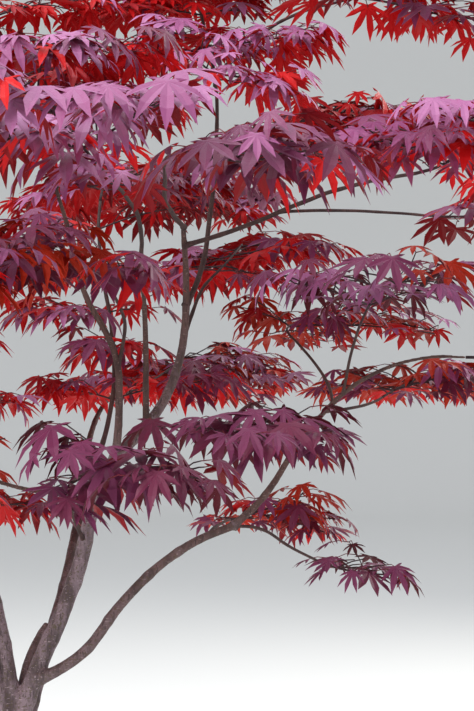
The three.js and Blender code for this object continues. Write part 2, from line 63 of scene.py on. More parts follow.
# Every limb as the solids have it, in mm and degrees: its parent, the share of the parent's length at which
# it starts, its length, and its radius at foot and tip. A heading runs round from +X towards +Y. Headings
# and rises stand at even steps from foot to tip.
limbFields = ("name", "parent", "at", "length", "foot", "tip", "heading", "rise")
limbRows = [
    ("trunk", None, 0, 352, 27, 20, [200, 20], [85, 87]),
    ("leader", "trunk", 1, 390, 11.4, 6.8, [16, 7, 12, 19], [75, 64, 81, 35]),
    ("right_stem", "leader", 1, 265, 6.4, 3.2, [49, -14, -94, -90], [46, 76, 85, 25]),
    ("right_front_bough", "right_stem", 1, 370, 2.9, 1.8, [-102, -87, -88], [7, 1, 0]),
    ("middle_stem", "leader", 1, 220, 4.3, 2.8, [-80, -90, -94, -89], [85, 76, 61, 31]),
    ("middle_front_bough", "middle_stem", 1, 310, 2.6, 1.8, [-85, -94, -92], [25, 2, -2]),
    ("left_stem", "leader", 0.86, 340, 5.2, 2.4, [-61, -89, -180, -137, -120], [63, 84, 57, 77, 59]),
    ("left_inner_twig", "left_stem", 0.33, 145, 2.3, 1.7, [-48, -98, -108], [74, 30, 21]),
    ("right_bough", "right_stem", 0.88, 385, 2.9, 1.8, [-23, -42, -63, -60], [12, 14, 0, -3]),
    ("right_fork", "right_bough", 0.35, 165, 1.9, 1.5, [-1, 0], [3, -6]),
    ("top_stem", "right_stem", 0.6, 285, 3.4, 2.1, [41, 53, -55, -117], [53, 81, 86, 69]),
    ("top_fork", "top_stem", 1, 300, 2, 1.6, [-70, -65, -66], [12, 5, -9]),
    ("crown_stem", "top_stem", 0.97, 230, 2.1, 1.7, [128, 114], [75, 60]),
    ("top_back_bough", "top_stem", 0.6, 135, 2.1, 1.7, [19, 23, 32], [10, 49, 19]),
    ("left_crown_stem", "left_stem", 0.98, 250, 2.3, 1.7, [165, 150], [66, 62]),
    ("low_bough", "leader", 0.17, 305, 6.8, 4.8, [-32, 19, 17, 18], [14, 55, 38, 15]),
    ("low_outer_bough", "low_bough", 1, 370, 4.6, 1.9, [1, 40, 2, -24, -11], [40, 53, 48, 19, -7]),
    ("low_side_twig", "low_outer_bough", 0.49, 105, 2, 1.6, [22, 64], [4, 16]),
    ("low_rising_twig", "low_outer_bough", 0.52, 150, 2.1, 1.6, [83, 126, 117], [34, 43, 25]),
    ("low_upright_twig", "low_outer_bough", 0.57, 95, 2, 1.6, [-73, -74], [68, 41]),
    ("hanging_twig", "low_bough", 0.98, 120, 2, 1.6, [7, 28, 11], [10, -34, -24]),
    ("low_back_twig", "low_bough", 0.88, 145, 2.1, 1.6, [79, 79], [11, -1]),
    ("left_twig", "leader", 0.71, 125, 4, 2.4, [-125, -158, -165], [28, 5, 19]),
    ("front_twig", "leader", 0.93, 130, 2.3, 1.7, [-67, -81], [19, -1]),
    ("front_left_twig", "leader", 0.6, 215, 2.4, 1.7, [-107, -66], [40, 5]),
    ("pruned_stub", "trunk", 0.97, 145, 7, 5.6, [78, 54, 27], [78, 72, 51]),
    ("west_stem", "trunk", 0.97, 690, 10.5, 2.4, [150, 165, 140, 170], [86, 70, 56, 60]),
    ("west_bough", "west_stem", 0.45, 260, 3.6, 2, [178, 190], [40, 18]),
    ("low_west_stem", "trunk", 0.96, 420, 9.2, 2.4, [190, 205, 200], [80, 48, 30]),
    ("front_west_bough", "low_west_stem", 0.55, 300, 3.6, 2, [-100, -118], [58, 20]),
    ("back_stem", "trunk", 0.82, 645, 9, 2.4, [73, 69, 85, 68], [60, 57, 59, 1]),
    ("back_crown_bough", "back_stem", 0.5, 485, 3.8, 2.1, [46, 59, 134, 83], [67, 67, 75, 59]),
    ("centre_back_bough", "right_stem", 0.42, 105, 2.6, 1.8, [25, 56, 64], [73, 62, 25]),
]
limbTable = [dict(zip(limbFields, row)) for row in limbRows]

# Looks of a mass of foliage: shares of red sprays (painted light shining through) and of pale sprays (a
# painted reflection of the sky), leaf size, degrees that leaves hang, how far apart they stand, how much of
# the space they fill across and in height, and the bough's pairs of shoots
usualLooks = dict(red=0, pale=0, big=1, dip=18, open=1, reach=1, thick=1, shoots=0)


# A mass with the bough that leads in, the piece it is joined to, and its space's middle and half sizes
def shelf(name, bough, group, middle, half, **looks):
    place = dict(name=name + "_foliage", bough=bough, group=group, middle=middle, half=half)
    return {**usualLooks, **place, **looks}


# In the order of the solids
massTable = [
    shelf("near_left", "middle_front_bough", "near", [100, -520, 965], [185, 175, 90],
          red=0.02, pale=0.9, big=1.12, dip=34, open=0.95),
    shelf("near_centre", "right_front_bough", "near", [235, -510, 920], [155, 125, 55],
          pale=0.2, big=1.15, dip=34, open=1.08, thick=0.8),
    shelf("top_left", "left_stem", "near", [50, -205, 1080], [195, 175, 90],
          red=0.3, pale=0.75, big=0.92, dip=28, open=0.8, thick=0.95),
    shelf("mid_left", "left_inner_twig", "near", [25, -235, 850], [175, 165, 80],
          red=0.1, pale=0.1, dip=24),
    shelf("top_centre", "top_stem", "top", [222, -80, 1075], [168, 150, 95],
          red=0.35, pale=0.9, big=0.92, dip=26, open=0.74, thick=1.1),
    shelf("top_right", "top_fork", "top", [430, -310, 1150], [175, 150, 85],
          red=0.5, pale=0.5, thick=0.85),
    shelf("upper_right", "right_bough", "right", [465, -365, 985], [175, 145, 75],
          red=0.22, pale=0.85, dip=26, open=0.95, thick=0.8),
    shelf("right_under", "right_fork", "right", [575, -55, 960], [175, 160, 75],
          red=0.35, pale=0.4, thick=0.75),
    shelf("right_mid", "low_upright_twig", "right", [415, -75, 860], [165, 140, 54],
          red=0.08, pale=0.6, big=0.95, open=1.45, thick=0.6),
    shelf("right_back", "low_rising_twig", "right", [385, 290, 850], [175, 150, 65],
          red=0.3, pale=0.2, dip=14, open=1.2, thick=0.7),
    shelf("right_low", "low_side_twig", "right", [470, 235, 775], [165, 140, 70],
          red=0.3, pale=0.2, dip=14, thick=0.65),
    shelf("right_tip", "low_outer_bough", "right", [690, -60, 800], [175, 140, 75],
          red=0.2, pale=0.4, thick=0.75),
    shelf("centre_back", "centre_back_bough", "back", [240, 200, 945], [185, 165, 85],
          red=0.35, pale=0.3),
    shelf("back_low", "back_stem", "back", [150, 520, 820], [240, 190, 85],
          red=0.4, pale=0.15, open=0.9),
    shelf("back_crown", "back_crown_bough", "back", [90, 400, 1075], [240, 215, 95],
          red=0.35, pale=0.4, open=0.95, reach=1.1, thick=1.15, shoots=5),
    shelf("low_front", "front_twig", "low", [246, -184, 696], [138, 142, 76],
          big=1.12, dip=28, open=1.12),
    shelf("low_front_left", "front_left_twig", "low", [146, -276, 664], [138, 138, 70],
          big=1.15, dip=28, open=1.12, reach=0.92),
    shelf("low_left", "left_twig", "low", [-82, -20, 672], [180, 160, 78],
          red=0.6, pale=0.05, open=0.95, reach=1.2),
    shelf("low_right", "low_back_twig", "low", [292, 240, 596], [150, 135, 70],
          red=0.3, pale=0.1, big=0.9, dip=16, open=1.15, reach=0.8, thick=0.7),
    shelf("hanging", "hanging_twig", "low", [390, 100, 527], [135, 118, 65],
          red=0.05, pale=0.05, big=0.88, dip=20, open=1.3, reach=0.66, thick=0.6),
    shelf("crown_top", "crown_stem", "crown", [190, 130, 1380], [250, 225, 125],
          red=0.4, pale=0.7, open=0.82, reach=1.1, thick=1.15, shoots=4),
    shelf("crown_back", "top_back_bough", "crown", [375, 205, 1122], [205, 190, 88],
          red=0.55, pale=0.4, open=0.85, thick=1.1, shoots=2),
    shelf("crown_left", "left_crown_stem", "crown", [-140, -10, 1280], [235, 215, 108],
          red=0.4, pale=0.7, open=0.82, reach=1.12, thick=1.15, shoots=4),
    shelf("west_top", "west_stem", "west", [-400, 170, 1040], [235, 215, 105],
          red=0.3, pale=0.6, open=0.85, reach=1.06, thick=1.2, shoots=6),
    shelf("west_mid", "west_bough", "west", [-510, 30, 810], [220, 200, 90],
          red=0.3, pale=0.3, open=0.85, thick=1.2, shoots=3),
    shelf("west_low", "low_west_stem", "lowWest", [-430, -170, 655], [210, 190, 85],
          red=0.15, pale=0.1, open=0.85, thick=1.15),
    shelf("front_west", "front_west_bough", "lowWest", [-285, -370, 765], [215, 190, 90],
          red=0.15, pale=0.3, open=0.85, thick=1.15, shoots=3),
]


# The solids' rule of growth, in mm

def seeded(seed):
    state = seed

    def draw():
        nonlocal state
        state = (state + 0x6D2B79F5) & 0xFFFFFFFF
        mixed = ((state ^ (state >> 15)) * (state | 1)) & 0xFFFFFFFF
        more = ((mixed ^ (mixed >> 7)) * (mixed | 61)) & 0xFFFFFFFF
        mixed = mixed ^ ((mixed + more) & 0xFFFFFFFF)
        return (mixed ^ (mixed >> 14)) / 4294967296

    return draw


def blend(values, share):
    return float(np.interp(share, np.linspace(0, 1, len(values)), values))


def direction(heading, rise):
    h, r = math.radians(heading), math.radians(rise)
    return np.array([math.cos(r) * math.cos(h), math.cos(r) * math.sin(h), math.sin(r)])


def along(path, share):
    place = share * (len(path) - 1)
    low = min(int(place), len(path) - 2)
    return path[low] + (path[low + 1] - path[low]) * (place - low)


def headingOf(way):
    return math.degrees(math.atan2(way[1], way[0]))


def growPath(limb, start):
    path = [np.array(start, float)]
    for step in range(pathSteps):
        share = (step + 0.5) / pathSteps
        way = direction(blend(limb["heading"], share), blend(limb["rise"], share))
        path.append(path[-1] + way * limb["length"] / pathSteps)
    return np.array(path)


def headingAt(path, share):
    return headingOf(along(path, min(1, share + 0.1)) - along(path, share - 0.1))


limbs = {}
for limb in limbTable:
    start = [0, 0, 0] if limb["parent"] is None else along(limbs[limb["parent"]]["path"], limb["at"])
    limbs[limb["name"]] = dict(limb, path=growPath(limb, start))

massMiddles = np.array([mass["middle"] for mass in massTable], float)
massHalves = np.array([mass["half"] for mass in massTable], float)


# How far out in each mass's space some places lie, as shares of its reach. The spaces bulge more than an
# ellipsoid above and below.
def depths(places):
    scaled = (np.asarray(places, float)[:, None, :] - massMiddles) / massHalves
    return np.sqrt(np.hypot(scaled[..., 0] ** 2 + scaled[..., 1] ** 2, scaled[..., 2] ** 2))


# Whether all the places lie in a mass's own space or, for a loose spray, in no other mass's
def inSpace(index, places, loose=False):
    mass = massTable[index]
    found = depths(places)
    own, nearest = found[:, index], found.min(axis=1)
    nearOwn = own <= nearest + 1e-9
    if loose:
        return bool(np.all((nearest > 1) | nearOwn))
    up = np.abs(np.asarray(places)[:, 2] - mass["middle"][2]) / mass["half"][2]
    return bool(np.all(nearOwn & (own < mass["reach"]) & (up < mass["thick"])))


# Wood

wood = dict(
    thickFoot=3.9,  # limbs with a thicker foot are fused into one skin
    thickSides=20, thinSides=10,
    ringEvery=5,  # mm between rings
    footSunk=0.6,  # how far back inside its parent a limb starts, as a share of its foot
    belowGround=15,
    voxel=1.7,  # mm, of the fused skin
    smoothSteps=6, smoothFactor=0.5,
    collar=0.5, collarFade=1.3,
    endAt=0.99,  # a limb that starts past this carries its parent on, so its collar starts at its foot
    knotEvery=(38, 80), knotSwell=0.11, knotHalf=4,
    wander=0.9, wanderWave=45,
    wanderFrom=6,  # rings over which the wander sets in
    flareRise=45, flareSpread=20, rootRidges=5, ridgeShare=0.3,
    youngRadius=3, oldRange=12,  # mm: radius of the youngest bark, and how much more the oldest has
)
relief = dict(
    depth=0.55,  # mm, on wood of the full radius
    fullRadius=10, most=1.5,
    ripple=(5, 5, 26),  # mm across and along the grain
    dent=9, swell=30,  # mm
    rippleShare=0.6, dentShare=0.5, swellShare=0.9,
)


# Points on a smooth curve through a path's points
def smoothPath(path, every):
    ext = np.vstack([2 * path[0] - path[1], path, 2 * path[-1] - path[-2]])
    total = np.linalg.norm(np.diff(path, axis=0), axis=1).sum()
    per = max(2, round(total / every / (len(path) - 1)))
    out = []
    for i in range(1, len(ext) - 2):
        a, b, c, d = ext[i - 1:i + 3]
        for t in np.arange(per) / per:
            out.append(0.5 * (2 * b + (c - a) * t + (2 * a - 5 * b + 4 * c - d) * t ** 2
                              + (3 * b - a - 3 * c + d) * t ** 3))
    out.append(path[-1])
    return np.array(out)


def radiusAt(limb, share):
    return limb["foot"] + (limb["tip"] - limb["foot"]) * share


# Radius all along a limb: its taper, the collar at its foot, and small swellings at nodes
def limbRadii(limb, path, dice):
    run = np.r_[0, np.cumsum(np.linalg.norm(np.diff(path, axis=0), axis=1))]
    radii = radiusAt(limb, run / run[-1])
    if limb["parent"]:
        parent = limbs[limb["parent"]]
        inside = radiusAt(parent, limb["at"]) if limb["at"] < wood["endAt"] else 0
        out = np.maximum(0, run - inside)
        radii = radii * (1 + wood["collar"] * np.exp(-out / (wood["collarFade"] * limb["foot"])))
    knot = dice.uniform(*wood["knotEvery"])
    while knot < run[-1]:
        radii = radii * (1 + wood["knotSwell"] * np.exp(-((run - knot) / wood["knotHalf"]) ** 2))
        knot += dice.uniform(*wood["knotEvery"])
    return radii


def wandered(path, seed):
    moved = path.copy()
    fade = np.minimum(1, np.arange(len(path)) / wood["wanderFrom"])
    for i, point in enumerate(path):
        push = noise.noise_vector(Vector(point / wood["wanderWave"]) + Vector((seed * 7.3, 0, 0)))
        moved[i] += np.array(push) * wood["wander"] * fade[i]
    return moved


# Matrices that carry a unit circle to each ring of a tube
def ringMatrices(path, radii):
    ways = np.gradient(path, axis=0)
    ways /= np.linalg.norm(ways, axis=1)[:, None]
    side = np.array([0.0, 1, 0]) if abs(ways[0][0]) > 0.9 else np.array([1.0, 0, 0])
    out = []
    for point, way, radius in zip(path, ways, radii):
        side = side - way * side.dot(way)
        side /= np.linalg.norm(side)
        turn = Matrix((side, np.cross(way, side), way)).transposed().to_4x4()
        out.append(Matrix.Translation(Vector(point * mm)) @ turn @ Matrix.Scale(radius * mm, 4))
    return out


# An extrusion's new vertices, and the edges between them
def freshParts(grown):
    verts = [item for item in grown if isinstance(item, bmesh.types.BMVert)]
    known = set(verts)
    edges = [item for item in grown if isinstance(item, bmesh.types.BMEdge)
             and item.verts[0] in known and item.verts[1] in known]
    return verts, edges


def addTube(bm, path, radii, sides):
    places = ringMatrices(path, radii)
    ring = bmesh.ops.create_circle(bm, cap_ends=True, segments=sides, radius=1)["verts"]
    bmesh.ops.transform(bm, matrix=places[0], verts=ring)
    edges = list(dict.fromkeys(edge for vert in ring for edge in vert.link_edges))
    made = list(ring)
    for before, after in zip(places, places[1:]):
        verts, edges = freshParts(bmesh.ops.extrude_edge_only(bm, edges=edges)["geom"])
        bmesh.ops.transform(bm, matrix=after @ before.inverted(), verts=verts)
        made += verts
    bmesh.ops.contextual_create(bm, geom=edges)
    return made


def meshFrom(bm, name):
    mesh = bpy.data.meshes.new(name)
    bm.to_mesh(mesh)
    bm.free()
    return mesh


def newPiece(name, mesh, *materials):
    piece = bpy.data.objects.new(name, mesh)
    bpy.context.scene.collection.objects.link(piece)
    for material in materials:
        mesh.materials.append(material)
    return piece


# Pushes the trunk's foot out into a flare with a ridge for each main root
def flareTrunk(verts):
    for vert in verts:
        height = max(0.0, vert.co.z / mm)
        flare = wood["flareSpread"] * math.exp(-height / wood["flareRise"])
        angle = math.atan2(vert.co.y, vert.co.x)
        ridge = 1 + wood["ridgeShare"] * math.cos(wood["rootRidges"] * angle)
        out = Vector((vert.co.x, vert.co.y, 0)).normalized()
        vert.co += out * flare * ridge * mm


# Limbs as tubes, with the places and radii of their rings
def buildTubes(names, sides):
    bm = bmesh.new()
    samples = []
    for seed, limb in enumerate(limbTable):
        if limb["name"] not in names:
            continue
        path = wandered(smoothPath(limbs[limb["name"]]["path"], wood["ringEvery"]), seed)
        radii = limbRadii(limb, path, random.Random(seed))
        sunk = wood["belowGround"] if limb["parent"] is None else wood["footSunk"] * limb["foot"]
        back = path[0] + (path[0] - path[1]) / np.linalg.norm(path[0] - path[1]) * sunk
        path, radii = np.vstack([back, path]), np.r_[radii[0], radii]
        verts = addTube(bm, path, radii, sides)
        if limb["parent"] is None:
            flareTrunk(verts)
        samples += list(zip(path, radii))
    bmesh.ops.recalc_face_normals(bm, faces=bm.faces)
    return bm, samples


# Fuses a piece's tubes into one skin
def fuseTubes(piece):
    fuse = piece.modifiers.new("fuse", "REMESH")
    fuse.mode = "VOXEL"
    fuse.voxel_size = wood["voxel"] * mm
    ease = piece.modifiers.new("ease", "SMOOTH")
    ease.factor = wood["smoothFactor"]
    ease.iterations = wood["smoothSteps"]
    deps = bpy.context.evaluated_depsgraph_get()
    mesh = bpy.data.meshes.new_from_object(piece.evaluated_get(deps))
    piece.modifiers.clear()
    old = piece.data
    piece.data = mesh
    bpy.data.meshes.remove(old)


def searchTree(points):
    tree = kdtree.KDTree(len(points))
    for i, point in enumerate(points):
        tree.insert(Vector(point), i)
    tree.balance()
    return tree


# Stores the wood's thickness at each vertex, from 0 for a twig to 1 for the trunk
def storeGirth(mesh, samples):
    tree = searchTree([point * mm for point, radius in samples])
    girths = [samples[tree.find(vert.co)[1]][1] for vert in mesh.vertices]
    layer = mesh.attributes.new("girth", "FLOAT", "POINT")
    shares = (np.array(girths) - wood["youngRadius"]) / wood["oldRange"]
    layer.data.foreach_set("value", np.clip(shares, 0, 1))
    return girths


# Low ripples along the grain and small dents, deeper on thicker wood
def addRelief(mesh, girths):
    wide, deep, tall = relief["ripple"]
    otherNoise = Vector((50, 0, 0))
    normals = [vert.normal.copy() for vert in mesh.vertices]
    for vert, normal, girth in zip(mesh.vertices, normals, girths):
        place = vert.co / mm
        ripple = noise.noise(Vector((place.x / wide, place.y / deep, place.z / tall)))
        dent = noise.noise(place / relief["dent"] + otherNoise)
        swell = noise.noise(place / relief["swell"])
        height = relief["rippleShare"] * ripple + relief["dentShare"] * dent
        height += relief["swellShare"] * swell
        amount = relief["depth"] * min(relief["most"], girth / relief["fullRadius"])
        vert.co += normal * height * amount * mm


def cutAtGround(mesh):
    bm = bmesh.new()
    bm.from_mesh(mesh)
    geom = bm.verts[:] + bm.edges[:] + bm.faces[:]
    bmesh.ops.bisect_plane(bm, geom=geom, dist=1e-6, plane_co=(0, 0, 0), plane_no=(0, 0, 1),
                           clear_inner=True)
    rim = [edge for edge in bm.edges if edge.is_boundary]
    bmesh.ops.contextual_create(bm, geom=rim)
    bm.to_mesh(mesh)
    bm.free()


def buildWood(name, names, sides, material, fused):
    bm, samples = buildTubes(names, sides)
    piece = newPiece(name, meshFrom(bm, name))
    if fused:
        fuseTubes(piece)
    girths = storeGirth(piece.data, samples)
    if fused:
        addRelief(piece.data, girths)
        cutAtGround(piece.data)
    piece.data.shade_smooth()
    piece.data.materials.append(material)
    return piece


# Leaves

leafForm = dict(
    angles=[-112, -68, -33, 0, 33, 68, 112],
    reaches=[0.36, 0.72, 0.94, 1, 0.94, 0.72, 0.36],
    # how far along a lobe its outline is set, and half its width there, both as shares of its reach
    stations=[(0.4, 0.106), (0.67, 0.112)],
    centre=0.04,
    notch=0.29, sideNotch=0.75,  # reach of the cuts between lobes, and its share at the sides
    sideFrom=120,  # sum of two lobes' angles past which their cut is at the side
    heel=0.05, heelAngle=155,
    thickness=0.9 / 64,
    fold=0.035, foldFrom=0.2,  # how far a lobe's middle lies below its edges, and from where on
)
leafKinds = [
    dict(droop=0.06, tipDroop=0.08, sideDroop=0.1, wide=1),
    dict(droop=0.12, tipDroop=0.16, sideDroop=0.18, wide=0.92),
    dict(droop=0.18, tipDroop=0.2, sideDroop=0.26, wide=0.95),
    dict(droop=0.1, tipDroop=0.26, sideDroop=0.14, wide=1.04),
]


# One leaf of unit length in its own plane, pointing along +X, top up: corners, top faces, under faces
def leafPattern(kind):
    form = leafForm
    points, tops, unders = [], [], []

    def place(angle, reach, across=0.0, lift=0.0):
        a = math.radians(angle)
        x = reach * math.cos(a) - across * math.sin(a)
        y = reach * math.sin(a) + across * math.cos(a)
        hang = kind["droop"] * reach ** 2 + kind["tipDroop"] * reach ** 4 + kind["sideDroop"] * y ** 2
        return (x, y, lift - hang)

    def add(*where, **lift):
        points.append(place(*where, **lift))
        return len(points) - 1

    # A corner on the top and one on the underside
    def pair(angle, reach):
        fold = form["fold"] * (reach > form["foldFrom"])
        return [add(angle, reach, lift=side * form["thickness"] / 2 - fold) for side in (1, -1)]

    centre = pair(0, form["centre"])
    angles, reaches = form["angles"], form["reaches"]
    cuts = [add(-form["heelAngle"], form["heel"])]
    for one, two in zip(angles, angles[1:]):
        share = form["sideNotch"] if abs(one + two) > form["sideFrom"] else 1
        cuts.append(add((one + two) / 2, form["notch"] * share))
    cuts.append(add(form["heelAngle"], form["heel"]))
    for i, (angle, reach) in enumerate(zip(angles, reaches)):
        places = [(along * reach, half * reach * kind["wide"]) for along, half in form["stations"]]
        ribs = [pair(angle, out) for out, half in places]
        tip = add(angle, reach)
        right, left = [[cuts[i + k]] + [add(angle, out, hand * half) for out, half in places]
                       for k, hand in enumerate((-1, 1))]
        for side, faces in ((0, tops), (1, unders)):
            rib = [centre[side]] + [one[side] for one in ribs]
            for k in range(len(ribs)):
                faces += [(rib[k], right[k], rib[k + 1]), (right[k], right[k + 1], rib[k + 1])]
                faces += [(rib[k], rib[k + 1], left[k]), (left[k], rib[k + 1], left[k + 1])]
            faces += [(rib[-1], right[-1], tip), (rib[-1], tip, left[-1])]
    tops.append((centre[0], cuts[-1], cuts[0]))
    unders.append((centre[1], cuts[-1], cuts[0]))
    unders = [face[::-1] for face in unders]
    return np.array(points), np.array(tops), np.array(unders)


patterns = [leafPattern(kind) for kind in leafKinds]
tipReaches = list(zip(leafForm["angles"], leafForm["reaches"]))

# Twigs, and the sprigs of leaves on them. Pairs in brackets are ranges, in mm and degrees.
foliage = dict(
    stemFoot=2.2, stemTip=1,  # radii, as the next two lines
    twigFoot=1.35, endTwigFoot=1.05, twigTip=0.8,
    sprigFoot=0.9, sprigTip=0.65,
    ringEvery=12,
    nodeGap=23, lastNode=0.35,  # between a twig's nodes, and past the last as a share of that
    hang=0.13, bow=(-0.05, 0.05),  # how far a twig hangs and bends, as shares of its length
    twigPoints=7,
    sprigLength=(16, 62), sprigSpread=(34, 62), sprigRise=(-18, 26),
    sprigShare=1.1, sprigLoss=0.55,  # share of that length at a twig's foot, and less at its tip
    endSprig=12, endSpread=(-8, 8),
    loneSprig=16,  # where a twig would be too short
    stemNodes=(0.18, 0.47, 0.77),  # where a stem bears sprigs
    stemSprig=(20, 46), stemSpread=(50, 80), stemRise=(-8, 18),
    endRise=2,
    room=54,  # room kept for a leaf past a twig's tip
    leafOut=40, leafFall=-30,  # where the leaf past a sprig's tip ends
    pairTurn=(44, 78),
    thirdLeaf=0.7,  # share of sprigs with a leaf between the pair at the tip
    longSprig=34,  # a longer one has a second pair
    sag=0.05,
    sameTint=0.5,  # share of sprigs with their twig's tint
)

# How a leaf is set on its stalk
leafSet = dict(
    tries=7, turn=(-22, 22),
    length=44, sizeRange=(0.58, 1.18),
    stalk=(16, 30), stalkRise=(-12, 22),
    rising=0.6, falling=0.4, fall=-10,  # shares of the stalk's length before and after its bend
    bendAt=0.55, bendRise=6,
    stalkHalf=0.55, stalkFoot=1.25,
    dip=(-6, 54), roll=17,
    tipDrop=0.3, middle=0.42, sunk=0.05,
    spacing=21,  # least distance between the middles of two leaves
    clear=2,  # from a limb
)

# The twig rule of the solids, with their sizes
rule = dict(
    stemSteps=4, stemBend=0.4, stemReach=0.32, gap=0.3,
    twigNodes=[0.32, 0.62, 0.92], twigSpread=58, spreadLoss=22,
    headingPlay=14, risePlay=34, twigLift=7,
    lengthStep=4, shortTwig=12,
)


def massStem(mass):
    path = limbs[mass["bough"]]["path"]
    way = path[-1] - path[-2]
    way = way / np.linalg.norm(way)
    foot = path[-1] + way * rule["gap"]
    middle = np.array(mass["middle"], float)
    outward = (middle - foot) * [1, 1, 0]
    outward /= np.linalg.norm(outward)
    reach = np.linalg.norm(mass["half"] * outward) * rule["stemReach"]
    end = middle + outward * reach
    bend = foot + way * np.linalg.norm(end - foot) * rule["stemBend"]
    shares = np.linspace(0, 1, rule["stemSteps"] + 1)[:, None]
    return foot * (1 - shares) ** 2 + bend * 2 * shares * (1 - shares) + end * shares ** 2


def planTwigs(stem, draw):
    twigs = []
    for share in rule["twigNodes"]:
        for hand in (1, -1):
            turn = rule["twigSpread"] - rule["spreadLoss"] * share
            turn += (draw() - 0.5) * rule["headingPlay"]
            rise = rule["twigLift"] + (draw() - 0.5) * rule["risePlay"]
            draw()  # the solids' twigs use a third number each
            twigs.append(dict(share=share, heading=headingAt(stem, share) + hand * turn, rise=rise))
    return twigs


# Where every limb runs, so that no leaf is set through one
samplesEach = 48
limbSamples = [(point, radiusAt(limb, i / samplesEach)) for limb in limbs.values()
               for i, point in enumerate(smoothPath(limb["path"], limb["length"] / samplesEach))]
limbTree = searchTree([point for point, radius in limbSamples])


def clearOfLimbs(places):
    for place in places:
        found, index, distance = limbTree.find(Vector(place))
        if distance < limbSamples[index][1] + leafSet["clear"]:
            return False
    return True


# One leaf on its stalk, tried a few times. foot is the node on the twig that bears it.
def addLeaf(spray, foot, heading, tint):
    dice, mass = spray.dice, spray.mass
    space = leafSet["spacing"] * mass["big"] * mass["open"]
    for attempt in range(leafSet["tries"]):
        turned = heading + dice.uniform(*leafSet["turn"])
        stalk = dice.uniform(*leafSet["stalk"])
        dip = dice.triangular(*leafSet["dip"], mass["dip"])
        size = leafSet["length"] * mass["big"] * dice.uniform(*leafSet["sizeRange"])
        roll = math.radians(dice.uniform(-1, 1) * leafSet["roll"])
        base = foot + direction(turned, dice.uniform(*leafSet["stalkRise"])) * stalk * leafSet["rising"]
        base = base + direction(turned, leafSet["fall"]) * stalk * leafSet["falling"]
        forward = direction(turned, -dip)
        level = direction(turned + 90, 0)
        side = level * math.cos(roll) + np.cross(forward, level) * math.sin(roll)
        up = np.cross(forward, side)
        tips = [base + size * r * (forward * math.cos(math.radians(a)) + side * math.sin(math.radians(a))
                                   - up * leafSet["tipDrop"] * r) for a, r in tipReaches]
        middle = base + forward * size * leafSet["middle"]
        if not inSpace(spray.index, tips, spray.loose):
            continue
        if spray.middles and np.min(np.linalg.norm(np.array(spray.middles) - middle, axis=1)) < space:
            continue
        if not clearOfLimbs([base, middle] + [(base + tip) / 2 for tip in tips] + tips):
            continue
        spray.middles.append(middle)
        bend = foot + direction(turned, leafSet["bendRise"]) * stalk * leafSet["bendAt"]
        half = leafSet["stalkHalf"]
        line = [foot, bend, base + forward * size * leafSet["sunk"]]
        spray.tubes.append(("stalk", line, [half * leafSet["stalkFoot"], half, half]))
        kind = dice.randrange(len(patterns))
        spray.leaves.append((kind, base, size * np.array([forward, side, up]), tint))
        return


# A twiglet with a pair of leaves at its tip, at times a third, and a pair at its middle if it is long
def addSprig(spray, foot, heading, rise, length, tint):
    dice = spray.dice
    way = direction(heading, rise)
    tip = foot + way * length
    leafEnd = tip + direction(heading, foliage["leafFall"]) * foliage["leafOut"]
    if not inSpace(spray.index, [leafEnd], spray.loose):
        length *= 0.5
        tip = foot + way * length
    before = len(spray.leaves)
    for hand in (1, -1):
        addLeaf(spray, tip, heading + hand * dice.uniform(*foliage["pairTurn"]), tint)
    if dice.random() < foliage["thirdLeaf"]:
        addLeaf(spray, tip, heading, tint)
    middle = foot + way * length * 0.5
    if length > foliage["longSprig"]:
        for hand in (1, -1):
            addLeaf(spray, middle, heading + hand * dice.uniform(*foliage["pairTurn"]), tint)
    if len(spray.leaves) > before:
        sag = middle + np.array([0, 0, length * foliage["sag"]])
        radii = np.linspace(foliage["sprigFoot"], foliage["sprigTip"], 3)
        spray.tubes.append(("sprig", [foot, sag, tip], radii))


# A twig as long as its mass's space allows, or a loose one of a given length, with sprigs in pairs
def addTwig(spray, foot, heading, rise, radius, length=0):
    dice = spray.dice
    way = direction(heading, rise)
    while not spray.loose and inSpace(spray.index, [foot + way * (length + foliage["room"])]):
        length += rule["lengthStep"]
    tint = pickTint(spray)
    if length < rule["shortTwig"]:
        addSprig(spray, foot, heading, rise, foliage["loneSprig"], tint)
        return
    bow = np.cross(way, [0, 0, 1]) * dice.uniform(*foliage["bow"]) * length
    hang = np.array([0, 0, foliage["hang"] * length])
    shares = np.linspace(0, 1, foliage["twigPoints"])
    line = np.array([foot + way * length * s + bow * 4 * s * (1 - s) - hang * s * s for s in shares])
    spray.tubes.append(("twig", line, np.linspace(radius, foliage["twigTip"], foliage["twigPoints"])))
    nodes = max(1, round(length / foliage["nodeGap"]))
    for node in range(1, nodes + 1):
        share = node / (nodes + foliage["lastNode"])
        for hand in (1, -1):
            spread = dice.uniform(*foliage["sprigSpread"])
            own = dice.uniform(*foliage["sprigLength"])
            own *= foliage["sprigShare"] - foliage["sprigLoss"] * share
            nodeTint = tint if dice.random() < foliage["sameTint"] else pickTint(spray)
            lift = dice.uniform(*foliage["sprigRise"])
            addSprig(spray, along(line, share), heading + hand * spread, rise + lift, own, nodeTint)
    turn = dice.uniform(*foliage["endSpread"])
    addSprig(spray, line[-1], heading + turn, rise, foliage["endSprig"], tint)


